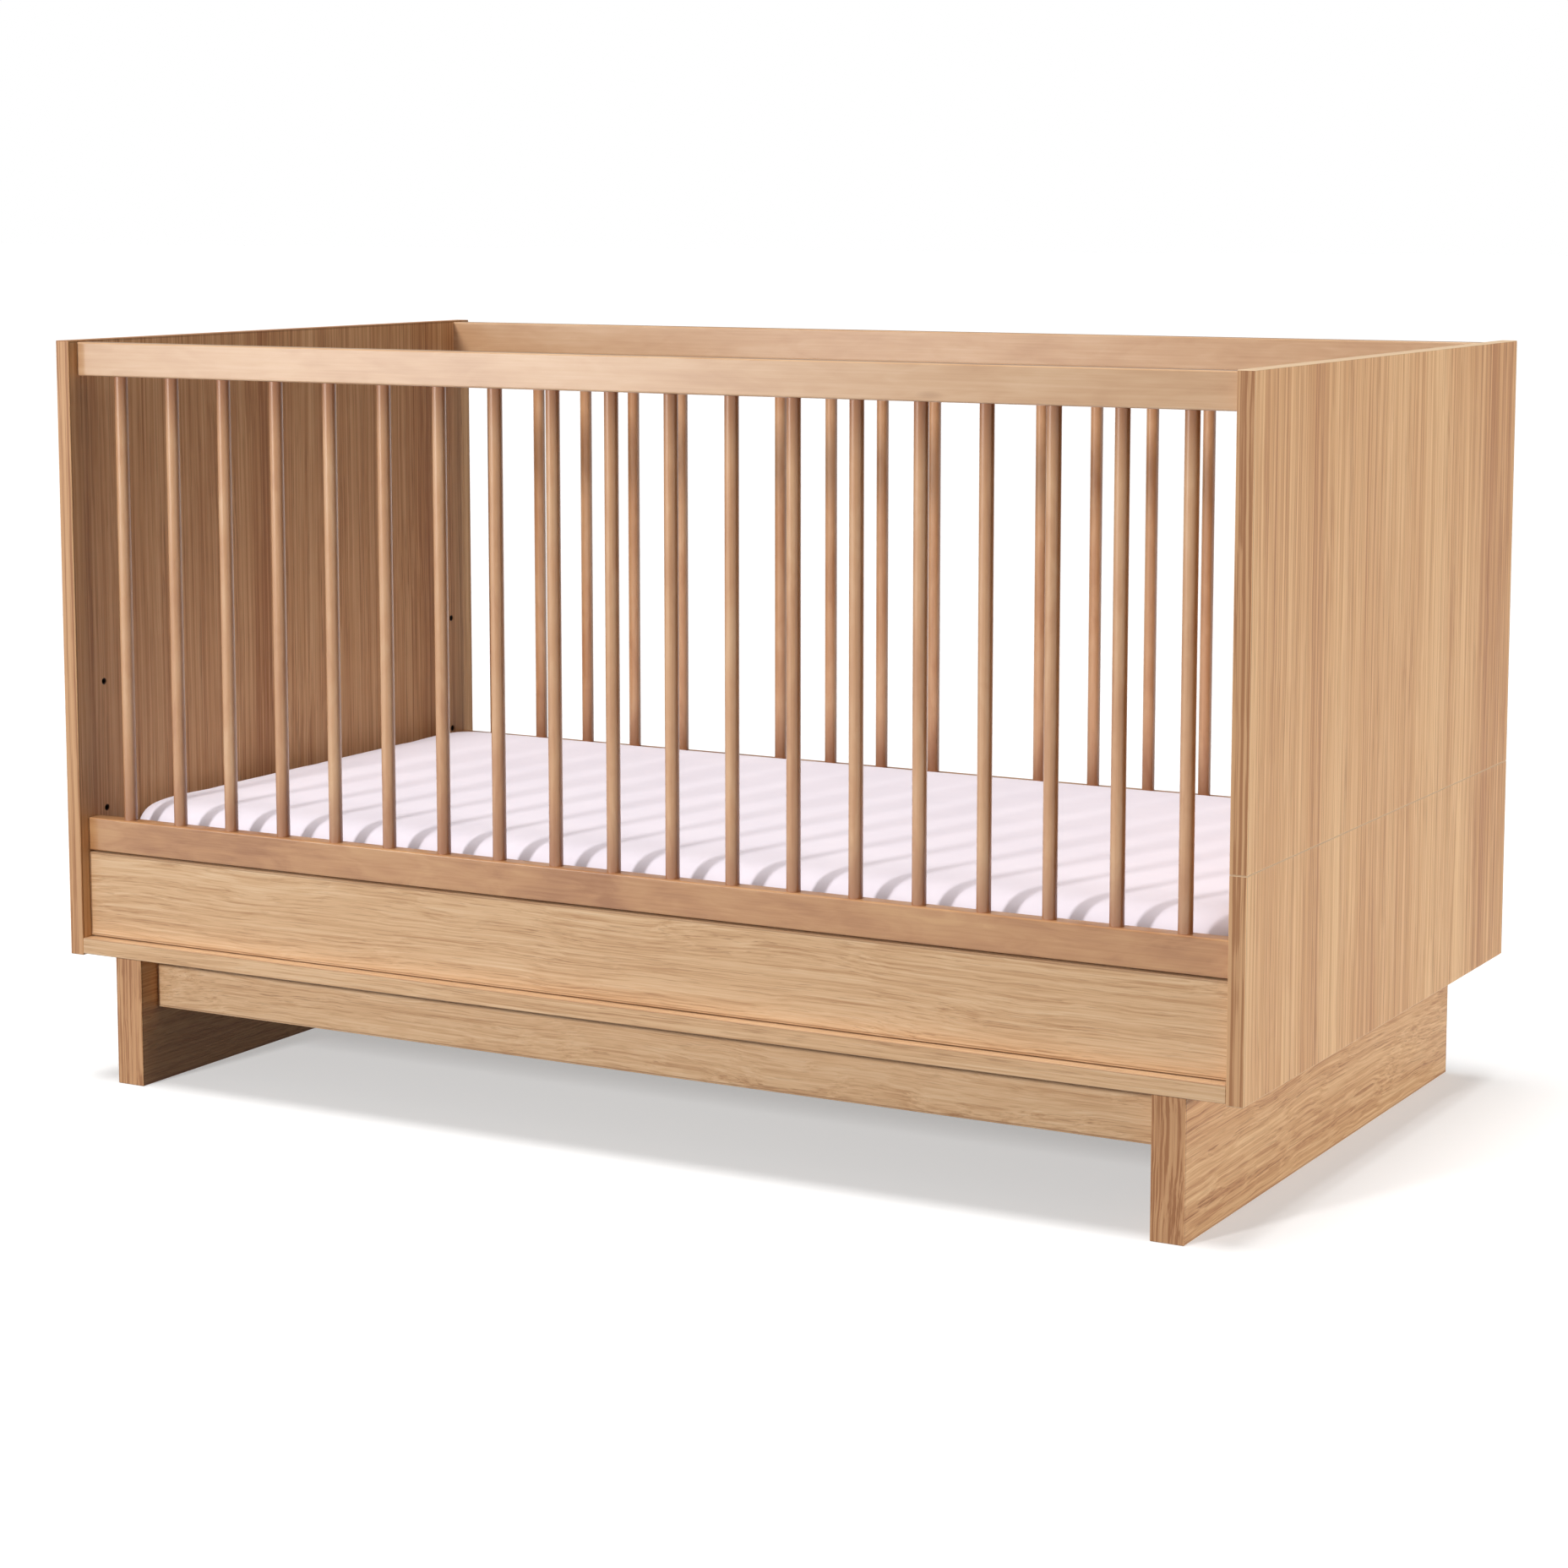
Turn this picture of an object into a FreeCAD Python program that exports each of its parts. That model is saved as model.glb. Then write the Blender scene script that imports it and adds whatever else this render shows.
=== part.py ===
import FreeCAD, Part
import os

import Sketcher

# Cot bed with slatted sides. Units are millimetres, +Z is up and the front is towards -Y.
# The origin is on the floor, below the middle of the bed.

os.makedirs("parts", exist_ok=True)
doc = FreeCAD.newDocument("cot_bed")
sheet = doc.addObject("Spreadsheet::Sheet", "sheet")

DIMENSIONS = [
    # end panels
    ("inner_length", 1404, "between the inner faces of the end panels"),
    ("overall_depth", 800, "end panels, front edge to back edge"),
    ("overall_height", 850, "floor to the top of the end panels"),
    ("board", 18, "thickness of every laminated board but the legs"),
    ("panel_bottom", 146, "underside of the end panels"),
    ("seam_height", 371, "where the right end panel parts in two"),
    ("board_round", 1, "softened edges of the boards"),
    # slatted sides
    ("side_inset", 15, "side rails and aprons, set back from the panel edges"),
    ("rail_thick", 20, "side rails, front to back"),
    ("rail_height", 38, "side rails, top to bottom"),
    ("rail_round", 2, "rounded long edges of the side rails"),
    ("top_rail_bottom", 810, "underside of the top rails"),
    ("low_rail_bottom", 266.5, "underside of the bottom rails"),
    ("spindle_count", 19, "spindles in each side"),
    ("spindle_pitch", 72, "centre to centre"),
    ("spindle_dia", 15, "spindle shaft"),
    ("tenon_dia", 10, "turned-down ends of the spindles"),
    ("tenon_length", 12, "how far the ends enter the rails"),
    ("tenon_play", 0.1, "around and beyond each spindle end"),
    # aprons and ledges below the slatted sides
    ("ledge_bottom", 148, "underside of the ledges, top of the legs"),
    ("ledge_depth", 100, "front to back"),
    ("apron_gap", 1.2, "open joint between the ledge and the apron above it"),
    ("apron_height", 97.3, "top to bottom"),
    # leg boards and stretchers
    ("leg_thick", 36, "leg boards, along the bed"),
    ("leg_inset", 61, "from the outside of the end panel to the leg"),
    ("leg_depth", 789, "front to back"),
    ("stretcher_face", 365.5, "from the middle of the bed to the outside face"),
    ("stretcher_height", 60, "hanging level with the tops of the legs"),
    # slatted base under the mattress
    ("base_length", 1390, ""),
    ("base_width", 712, ""),
    ("base_bottom", 169, "resting on the corner brackets"),
    ("base_height", 27, ""),
    ("base_rail_wide", 30, "side and end rails of the base"),
    ("spine_wide", 40, "middle rail of the base"),
    ("slat_count", 13, ""),
    ("slat_wide", 60, ""),
    ("slat_thick", 8, "let in flush with the top of the base"),
    ("slat_seat", 12, "how far each slat end lies on its rail"),
    # mattress in its fitted sheet
    ("mattress_length", 1398, ""),
    ("mattress_width", 698, ""),
    ("mattress_height", 119.8, ""),
    ("mattress_corner", 62, "round in plan"),
    ("mattress_top_round", 34, ""),
    ("mattress_low_round", 14, ""),
    # corner brackets, their bolts and the inserts in the end panels
    ("bracket_metal", 2.5, ""),
    ("bracket_shelf", 27, "how far the shelf reaches under the base"),
    ("bracket_rise", 27.5, "height of the upright"),
    ("bracket_wide", 22, "with the bolt in its middle"),
    ("bolt_line", 352, "middle of the bed to a bolt"),
    ("bolt_row_low", 184, "bolt height, mattress at the bottom"),
    ("bolt_row_mid", 311, "bolt height, mattress halfway"),
    ("bolt_row_top", 458, "bolt height, mattress at the top"),
    ("bolt_dia", 5.9, ""),
    ("bolt_length", 12.5, "under the head"),
    ("bolt_hole_dia", 6.6, "in the bracket"),
    ("bolt_head_dia", 10.5, ""),
    ("bolt_head_high", 3.3, ""),
    ("bolt_head_round", 1.6, "button head"),
    ("bolt_socket_dia", 4, "for the key"),
    ("bolt_socket_depth", 2, ""),
    ("insert_dia", 7.9, ""),
    ("insert_length", 11, ""),
    ("insert_thread_dia", 6, ""),
    ("insert_sink", 1, "from the panel's face to the insert"),
    ("insert_play", 0.1, "around each insert"),
    ("insert_clearance", 0.5, "beyond each insert"),
    # cam fittings: a bolt in one board and the cam in the other that pulls it tight
    ("cam_dia", 15, ""),
    ("cam_length", 12.2, ""),
    ("cam_reach", 24, "joint face to the middle of the cam"),
    ("cam_axis", 8, "from the bored face to the bolt's axis"),
    ("cam_sink", 0.2, "how far the cam lies below the bored face"),
    ("cam_play", 0.2, "wider bores around the cam and the thread"),
    ("cam_clearance", 0.4, "beyond the cam and the thread"),
    ("cam_bolt_dia", 6, ""),
    ("cam_bolt_bore", 7, ""),
    ("cam_slot_width", 6.6, "opening in the cam for the bolt's neck"),
    ("cam_thread_dia", 5, ""),
    ("cam_thread_length", 11, ""),
    ("apron_cam_edge", 25, "apron edges to the cam bolts"),
    ("ledge_cam_line", 345, "middle of the bed to the bolt in a ledge's end"),
    ("leg_cam_line", 320, "middle of the bed to the bolt in a leg's top"),
    ("seam_cam_spread", 250, "between the cam bolts across the seam"),
    ("fit_gap", 0.1, "between the brackets and the base that lies on them"),
    ("soft_gap", 0.2, "between the base and the mattress, and at each slat's ends"),
]

for row, (alias, value, note) in enumerate(DIMENSIONS, start=1):
    sheet.set("A%d" % row, alias)
    sheet.set("B%d" % row, str(value))
    sheet.set("C%d" % row, note)
    sheet.setAlias("B%d" % row, alias)
doc.recompute()

X = FreeCAD.Vector(1, 0, 0)
Y = FreeCAD.Vector(0, 1, 0)
Z = FreeCAD.Vector(0, 0, 1)
LEFT, RIGHT = -1, 1
FRONT, BACK = -1, 1
ENDS = {LEFT: "left", RIGHT: "right"}
SIDES = {FRONT: "front", BACK: "back"}

# How far a boring tool starts outside the face it cuts, so that it breaks the face cleanly.
OVERRUN = 1


def size(alias):
    """The value of one driving dimension."""
    return float(sheet.get(alias))


def bind(obj, prop, expression):
    """Ties a property to driving dimensions; each word in braces is a cell of the sheet."""
    obj.setExpression(prop, expression.replace("{", "sheet.").replace("}", ""))


def place(obj, x, y, z):
    for axis, expression in zip("xyz", (x, y, z)):
        bind(obj, ".Placement.Base." + axis, expression)


def origin_plane(body, role):
    return next(item for item in body.Origin.OriginFeatures if item.Role == role)


def sketch_on(body, name, role="XY_Plane"):
    sketch = body.newObject("Sketcher::SketchObject", name)
    sketch.AttachmentSupport = [(origin_plane(body, role), "")]
    sketch.MapMode = "FlatFace"
    return sketch


def rectangle(sketch, length, width):
    """Draws a rectangle around the sketch's origin."""
    corners = [(-10, -5), (10, -5), (10, 5), (-10, 5)]
    for start, end in zip(corners, corners[1:] + corners[:1]):
        line = Part.LineSegment(FreeCAD.Vector(*start, 0), FreeCAD.Vector(*end, 0))
        sketch.addGeometry(line, False)
    for line in range(4):
        sketch.addConstraint(Sketcher.Constraint("Coincident", line, 2, (line + 1) % 4, 1))
    for line in (0, 2):
        sketch.addConstraint(Sketcher.Constraint("Horizontal", line))
    for line in (1, 3):
        sketch.addConstraint(Sketcher.Constraint("Vertical", line))
    sketch.addConstraint(Sketcher.Constraint("Symmetric", 0, 1, 2, 1, -1, 1))
    across = sketch.addConstraint(Sketcher.Constraint("DistanceX", 0, 1, 0, 2, 20))
    along = sketch.addConstraint(Sketcher.Constraint("DistanceY", 1, 1, 1, 2, 10))
    sketch.renameConstraint(across, "length")
    sketch.renameConstraint(along, "width")
    bind(sketch, ".Constraints.length", length)
    bind(sketch, ".Constraints.width", width)


def round_edges(body, name, radius, wanted):
    """Rounds the edges of the body's last feature for which wanted(edge) is true."""
    doc.recompute()
    base = body.Tip
    edges = [
        "Edge%d" % number
        for number, edge in enumerate(base.Shape.Edges, start=1)
        if wanted(edge)
    ]
    fillet = body.newObject("PartDesign::Fillet", name)
    fillet.Base = (base, edges)
    bind(fillet, "Radius", radius)
    return fillet


def runs_along(axis):
    def wanted(edge):
        direction = edge.Vertexes[-1].Point - edge.Vertexes[0].Point
        return abs(direction.normalize().dot(axis)) > 0.99

    return wanted


def every_edge(edge):
    return True


def bar(label, length, width, height, position, radius="{board_round}", wanted=every_edge):
    """A rectangular board or bar, its origin in the middle of its underside."""
    body = doc.addObject("PartDesign::Body", label)
    outline = sketch_on(body, label + "_outline")
    rectangle(outline, length, width)
    pad = body.newObject("PartDesign::Pad", label + "_pad")
    pad.Profile = outline
    bind(pad, "Length", height)
    round_edges(body, label + "_edges", radius, wanted)
    place(body, *position)
    return body


def rod(diameter, start, direction, length):
    return Part.makeCylinder(diameter / 2, length, start, direction)


def group(label, shapes):
    """One node that holds several separate solids."""
    item = doc.addObject("Part::Feature", label)
    item.Label = label
    item.Shape = Part.makeCompound(shapes)
    return item


def drill(label, blank, tools):
    """The finished board: the blank with its borings taken out."""
    borings = doc.addObject("Part::Feature", label + "_borings")
    borings.Shape = Part.makeCompound(tools)
    finished = doc.addObject("Part::Cut", label + "_bored")
    finished.Base = blank
    finished.Tool = borings
    blank.Label = label + "_blank"
    finished.Label = label
    return finished


# ---------------------------------------------------------------- cam fittings

borings = {}
cam_fittings = []


def bore(label, tool):
    borings.setdefault(label, []).append(tool)


def cam_joint(member, receiver, face, into, opening):
    """A cam fitting that pulls the end of member against receiver.

    face is where the bolt crosses the joint, into points along the bolt into the member,
    and opening points out of the member's face that the cam is let into.
    """
    reach = size("cam_reach")
    axis_depth = size("cam_axis")
    middle = face + into * reach
    cam_face = middle + opening * (axis_depth - size("cam_sink"))
    thread = rod(size("cam_thread_dia"), face, into * -1, size("cam_thread_length"))
    shank = rod(size("cam_bolt_dia"), face, into, reach)
    cam = rod(size("cam_dia"), cam_face, opening * -1, size("cam_length"))
    slot = rod(size("cam_slot_width"), middle, into * -1, size("cam_dia"))
    cam_fittings.append(thread.fuse(shank).removeSplitter())
    cam_fittings.append(cam.cut(slot))

    bore(member, rod(size("cam_bolt_bore"), face - into * OVERRUN, into, OVERRUN + reach))
    bore(member, rod(size("cam_dia") + size("cam_play"), cam_face + opening * OVERRUN,
                     opening * -1, OVERRUN + size("cam_length") + size("cam_clearance")))
    bore(receiver, rod(size("cam_thread_dia") + size("cam_play"), face + into * OVERRUN,
                       into * -1, OVERRUN + size("cam_thread_length") + size("cam_clearance")))


def panel_at(end, height):
    """The name of the end panel board at that end and height."""
    if end == LEFT:
        return "left_end_panel"
    return "right_end_panel_lower" if height < size("seam_height") else "right_end_panel_upper"


half_inner = size("inner_length") / 2
board = size("board")
rail_line = size("overall_depth") / 2 - size("side_inset") - size("rail_thick") / 2
apron_back = size("overall_depth") / 2 - size("side_inset") - board
apron_bottom = size("ledge_bottom") + board + size("apron_gap")
leg_outer = half_inner + board - size("leg_inset")
leg_inner = leg_outer - size("leg_thick")
cam_axis = size("cam_axis")

for side, side_name in SIDES.items():
    for end in ENDS:
        inward = X * -end
        for rail, bottom in (("top", size("top_rail_bottom")), ("bottom", size("low_rail_bottom"))):
            height = bottom + cam_axis
            cam_joint("%s_%s_rail" % (side_name, rail), panel_at(end, height),
                      FreeCAD.Vector(end * half_inner, side * rail_line, height), inward, Z * -1)
        for height in (apron_bottom + size("apron_cam_edge"),
                       apron_bottom + size("apron_height") - size("apron_cam_edge")):
            cam_joint(side_name + "_apron", panel_at(end, height),
                      FreeCAD.Vector(end * half_inner, side * (apron_back + cam_axis), height),
                      inward, Y * -side)
        ledge_height = size("ledge_bottom") + cam_axis
        cam_joint(side_name + "_ledge", panel_at(end, ledge_height),
                  FreeCAD.Vector(end * half_inner, side * size("ledge_cam_line"), ledge_height),
                  inward, Z * -1)
        stretcher_back = size("stretcher_face") - board
        cam_joint(side_name + "_stretcher", ENDS[end] + "_leg",
                  FreeCAD.Vector(end * leg_inner, side * (stretcher_back + cam_axis),
                                 size("ledge_bottom") - size("stretcher_height") / 2),
                  inward, Y * -side)
        cam_joint(ENDS[end] + "_leg", side_name + "_ledge",
                  FreeCAD.Vector(end * (leg_inner + cam_axis), side * size("leg_cam_line"),
                                 size("ledge_bottom")),
                  Z * -1, inward)

for step in (-1, 0, 1):
    cam_joint("right_end_panel_lower", "right_end_panel_upper",
              FreeCAD.Vector(half_inner + cam_axis, step * size("seam_cam_spread"),
                             size("seam_height")), Z * -1, X * -1)

# ------------------------------------------- corner brackets, bolts and inserts

metal = size("bracket_metal")
bolt_rows = [size("bolt_row_low"), size("bolt_row_mid"), size("bolt_row_top")]
shelf_bottom = size("base_bottom") - size("fit_gap") - metal
brackets, bolts, inserts = [], [], []

for end in ENDS:
    outward = X * end
    for side in SIDES:
        line = side * size("bolt_line")
        near = line - size("bracket_wide") / 2
        upright = Part.makeBox(metal, size("bracket_wide"), size("bracket_rise"),
                               FreeCAD.Vector(min(end * half_inner, end * (half_inner - metal)),
                                              near, shelf_bottom))
        shelf = Part.makeBox(size("bracket_shelf"), size("bracket_wide"), metal,
                             FreeCAD.Vector(min(end * half_inner,
                                                end * (half_inner - size("bracket_shelf"))),
                                            near, shelf_bottom))
        bracket = upright.fuse(shelf).removeSplitter()
        low = FreeCAD.Vector(end * (half_inner - metal), line, bolt_rows[0])
        bracket = bracket.cut(rod(size("bolt_hole_dia"), low - outward * OVERRUN, outward,
                                  metal + 2 * OVERRUN))
        head = rod(size("bolt_head_dia"), low, outward * -1, size("bolt_head_high"))
        rim = [edge for edge in head.Edges
               if abs(edge.CenterOfMass.x) < abs(head.CenterOfMass.x) - metal / 2]
        head = head.makeFillet(size("bolt_head_round"), rim)
        socket = rod(size("bolt_socket_dia"), low - outward * (size("bolt_head_high") + OVERRUN),
                     outward, OVERRUN + size("bolt_socket_depth"))
        shank = rod(size("bolt_dia"), low, outward, size("bolt_length"))
        bolts.append(head.fuse(shank).cut(socket))
        for height in bolt_rows:
            mouth = FreeCAD.Vector(end * half_inner, line, height)
            sleeve = rod(size("insert_dia"), mouth + outward * size("insert_sink"), outward,
                         size("insert_length"))
            thread = rod(size("insert_thread_dia"), mouth, outward,
                         size("insert_sink") + size("insert_length") + OVERRUN)
            inserts.append(sleeve.cut(thread))
            bore(panel_at(end, height),
                 rod(size("insert_dia") + size("insert_play"), mouth - outward * OVERRUN, outward,
                     OVERRUN + size("insert_sink") + size("insert_length")
                     + size("insert_clearance")))
        brackets.append(bracket)

# ------------------------------------------------------------------ end panels

PANEL_X = "({inner_length} + {board}) / 2"
blanks = {}
blanks["left_end_panel"] = bar(
    "left_end_panel", "{board}", "{overall_depth}", "{overall_height} - {panel_bottom}",
    ("-" + PANEL_X, "0", "{panel_bottom}"))
blanks["right_end_panel_lower"] = bar(
    "right_end_panel_lower", "{board}", "{overall_depth}", "{seam_height} - {panel_bottom}",
    (PANEL_X, "0", "{panel_bottom}"))
blanks["right_end_panel_upper"] = bar(
    "right_end_panel_upper", "{board}", "{overall_depth}", "{overall_height} - {seam_height}",
    (PANEL_X, "0", "{seam_height}"))

# ---------------------------------------------------------------- slatted sides

RAIL_Y = "({overall_depth} / 2 - {side_inset} - {rail_thick} / 2)"
APRON_Y = "({overall_depth} / 2 - {side_inset} - {board} / 2)"
LEDGE_Y = "({overall_depth} / 2 - {ledge_depth} / 2)"
STRETCHER_Y = "({stretcher_face} - {board} / 2)"


def spindle_rail(label, side, bottom, bored_from_top):
    """A side rail with a row of blind bores for the spindle ends."""
    body = bar(label, "{inner_length}", "{rail_thick}", "{rail_height}",
               ("0", "%d * %s" % (side, RAIL_Y), bottom), "{rail_round}", runs_along(X))
    first = sketch_on(body, label + "_first_bore")
    if bored_from_top:
        bind(first, ".AttachmentOffset.Base.z", "{rail_height}")
    first.addGeometry(Part.Circle(FreeCAD.Vector(-50, 0, 0), Z, 5), False)
    first.addConstraint(Sketcher.Constraint("PointOnObject", 0, 3, -1))
    from_middle = first.addConstraint(Sketcher.Constraint("DistanceX", 0, 3, -1, 1, 50))
    first.renameConstraint(from_middle, "from_middle")
    bind(first, ".Constraints.from_middle", "({spindle_count} - 1) / 2 * {spindle_pitch}")
    radius = first.addConstraint(Sketcher.Constraint("Radius", 0, 5))
    first.renameConstraint(radius, "bore_radius")
    bind(first, ".Constraints.bore_radius", "{tenon_dia} / 2 + {tenon_play}")
    pocket = body.newObject("PartDesign::Pocket", label + "_bore")
    pocket.Profile = first
    pocket.Reversed = not bored_from_top
    bind(pocket, "Length", "{tenon_length} + {tenon_play}")
    doc.recompute()
    row = body.newObject("PartDesign::LinearPattern", label + "_bore_row")
    row.Originals = [pocket]
    row.Direction = (first, ["H_Axis"])
    bind(row, "Length", "({spindle_count} - 1) * {spindle_pitch}")
    bind(row, "Occurrences", "{spindle_count}")
    body.Tip = row
    return body


def spindle(label, side, number):
    """A turned spindle: the shaft and its two narrower ends."""
    x = "(%d - ({spindle_count} - 1) / 2) * {spindle_pitch}" % number
    y = "%d * %s" % (side, RAIL_Y)
    shaft_bottom = "{low_rail_bottom} + {rail_height}"
    turned = [
        ("shaft", "{spindle_dia}", shaft_bottom, "{top_rail_bottom} - (%s)" % shaft_bottom),
        ("low_end", "{tenon_dia}", shaft_bottom + " - {tenon_length}", "{tenon_length}"),
        ("top_end", "{tenon_dia}", "{top_rail_bottom}", "{tenon_length}"),
    ]
    pieces = []
    for name, diameter, bottom, length in turned:
        piece = doc.addObject("Part::Cylinder", "%s_%s" % (label, name))
        bind(piece, "Radius", "(%s) / 2" % diameter)
        bind(piece, "Height", length)
        place(piece, x, y, bottom)
        pieces.append(piece)
    whole = doc.addObject("Part::MultiFuse", label)
    whole.Shapes = pieces
    whole.Refine = True
    whole.Label = label
    return whole


parts = []

for side, side_name in SIDES.items():
    blanks[side_name + "_top_rail"] = spindle_rail(
        side_name + "_top_rail", side, "{top_rail_bottom}", False)
    blanks[side_name + "_bottom_rail"] = spindle_rail(
        side_name + "_bottom_rail", side, "{low_rail_bottom}", True)
    for number in range(int(size("spindle_count"))):
        parts.append(spindle("%s_spindle_%02d" % (side_name, number + 1), side, number))
    blanks[side_name + "_apron"] = bar(
        side_name + "_apron", "{inner_length}", "{board}", "{apron_height}",
        ("0", "%d * %s" % (side, APRON_Y), "{ledge_bottom} + {board} + {apron_gap}"))
    blanks[side_name + "_ledge"] = bar(
        side_name + "_ledge", "{inner_length}", "{ledge_depth}", "{board}",
        ("0", "%d * %s" % (side, LEDGE_Y), "{ledge_bottom}"))
    blanks[side_name + "_stretcher"] = bar(
        side_name + "_stretcher", "{inner_length} + 2 * ({board} - {leg_inset} - {leg_thick})",
        "{board}", "{stretcher_height}",
        ("0", "%d * %s" % (side, STRETCHER_Y), "{ledge_bottom} - {stretcher_height}"))

for end, end_name in ENDS.items():
    blanks[end_name + "_leg"] = bar(
        end_name + "_leg", "{leg_thick}", "{leg_depth}", "{ledge_bottom}",
        ("%d * ({inner_length} / 2 + {board} - {leg_inset} - {leg_thick} / 2)" % end, "0", "0"))

doc.recompute()
for label, blank in blanks.items():
    parts.append(drill(label, blank, borings[label]))

parts.append(group("cam_fittings", cam_fittings))
parts.append(group("base_brackets", brackets))
parts.append(group("bracket_bolts", bolts))
parts.append(group("threaded_inserts", inserts))

# ------------------------------------------------------------------ slatted base


def block(name, length, width, height, x, y, z):
    piece = doc.addObject("Part::Box", name)
    bind(piece, "Length", length)
    bind(piece, "Width", width)
    bind(piece, "Height", height)
    place(piece, x, y, z)
    return piece


def bundle(label, pieces):
    """A node of separate pieces that are still tied to the sheet."""
    item = doc.addObject("Part::Compound", label)
    item.Links = pieces
    item.Label = label
    return item


SLAT_BOTTOM = "({base_bottom} + {base_height} - {slat_thick})"
frame_pieces = []
for side, side_name in SIDES.items():
    edge = "{base_width} / 2" if side == BACK else "-{base_width} / 2 + {base_rail_wide}"
    rail = block("base_%s_rail" % side_name, "{base_length}", "{base_rail_wide}", "{base_height}",
                 "-{base_length} / 2", edge + " - {base_rail_wide}", "{base_bottom}")
    seat_edge = ("{base_width} / 2 - {base_rail_wide}" if side == BACK
                 else "-{base_width} / 2 + {base_rail_wide} - {slat_seat}")
    seat = block("base_%s_seat" % side_name, "{base_length} - 2 * {base_rail_wide}", "{slat_seat}",
                 "{slat_thick}", "-{base_length} / 2 + {base_rail_wide}", seat_edge, SLAT_BOTTOM)
    rebated = doc.addObject("Part::Cut", "base_%s_rail_rebated" % side_name)
    rebated.Base = rail
    rebated.Tool = seat
    frame_pieces.append(rebated)
for end, end_name in ENDS.items():
    edge = "{base_length} / 2 - {base_rail_wide}" if end == RIGHT else "-{base_length} / 2"
    frame_pieces.append(
        block("base_%s_rail" % end_name, "{base_rail_wide}", "{base_width} - 2 * {base_rail_wide}",
              "{base_height}", edge, "-{base_width} / 2 + {base_rail_wide}", "{base_bottom}"))
frame_pieces.append(
    block("base_spine", "{base_length} - 2 * {base_rail_wide}", "{spine_wide}",
          "{base_height} - {slat_thick}", "-{base_length} / 2 + {base_rail_wide}",
          "-{spine_wide} / 2", "{base_bottom}"))
parts.append(bundle("base_frame", frame_pieces))

slats = []
for number in range(int(size("slat_count"))):
    room = "({base_length} - 2 * {base_rail_wide} - {slat_count} * {slat_wide}) / ({slat_count} + 1)"
    x = ("-{base_length} / 2 + {base_rail_wide} + %d * (%s) + %d * {slat_wide}"
         % (number + 1, room, number))
    slats.append(
        block("slat_%02d" % (number + 1), "{slat_wide}",
              "{base_width} - 2 * ({base_rail_wide} - {slat_seat} + {soft_gap})", "{slat_thick}", x,
              "-{base_width} / 2 + {base_rail_wide} - {slat_seat} + {soft_gap}", SLAT_BOTTOM))
parts.append(bundle("base_slats", slats))

# ---------------------------------------------------------------------- mattress

mattress = bar("mattress", "{mattress_length}", "{mattress_width}", "{mattress_height}",
               ("0", "0", "{base_bottom} + {base_height} + {soft_gap}"), "{mattress_corner}",
               runs_along(Z))
top = size("mattress_height")
round_edges(mattress, "mattress_top_edges", "{mattress_top_round}",
            lambda edge: edge.BoundBox.ZMin > top - 0.01)
round_edges(mattress, "mattress_low_edges", "{mattress_low_round}",
            lambda edge: edge.BoundBox.ZMax < 0.01)
parts.append(mattress)

# ------------------------------------------------------------- check and export

doc.recompute()
for item in doc.Objects:
    if "Invalid" in item.State or "Error" in item.State:
        raise RuntimeError("%s: %s" % (item.Label, item.State))
for item in parts:
    shape = item.Shape
    if shape.isNull() or not shape.isValid() or not shape.Solids:
        raise RuntimeError("bad shape: " + item.Label)
    shape.exportStep("parts/%s.step" % item.Label)
print(len(parts), "parts written")
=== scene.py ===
"""Looks of the baby crib: boards in an oak-effect laminate, rails and spindles in honey-coloured solid wood,
and a foam mattress in a white fitted sheet."""

import math

import bpy
import numpy as np
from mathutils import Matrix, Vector


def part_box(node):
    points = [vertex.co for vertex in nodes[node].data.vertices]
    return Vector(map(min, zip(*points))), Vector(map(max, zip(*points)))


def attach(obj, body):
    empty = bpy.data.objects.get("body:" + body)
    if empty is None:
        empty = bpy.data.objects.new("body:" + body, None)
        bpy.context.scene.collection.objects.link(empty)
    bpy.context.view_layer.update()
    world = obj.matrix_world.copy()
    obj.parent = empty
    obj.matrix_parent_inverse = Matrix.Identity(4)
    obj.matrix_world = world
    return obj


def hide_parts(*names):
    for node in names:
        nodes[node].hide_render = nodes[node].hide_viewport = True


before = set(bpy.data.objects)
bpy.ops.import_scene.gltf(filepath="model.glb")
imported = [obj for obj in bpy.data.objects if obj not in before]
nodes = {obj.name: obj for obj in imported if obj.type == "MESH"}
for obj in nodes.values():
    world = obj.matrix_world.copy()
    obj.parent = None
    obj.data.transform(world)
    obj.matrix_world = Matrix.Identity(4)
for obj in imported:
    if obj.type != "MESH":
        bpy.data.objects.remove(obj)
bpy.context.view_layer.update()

MM = 0.001
X, Y, Z = 0, 1, 2


# ---------------------------------------------------------------- material graphs

def srgb(red, green, blue):
    """A colour written as it looks on a screen, 0 to 255, as the linear colour that a shader takes."""
    linear = []
    for part in (red, green, blue):
        share = part / 255
        linear.append(share / 12.92 if share <= 0.04045 else ((share + 0.055) / 1.055) ** 2.4)
    return (*linear, 1.0)


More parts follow.
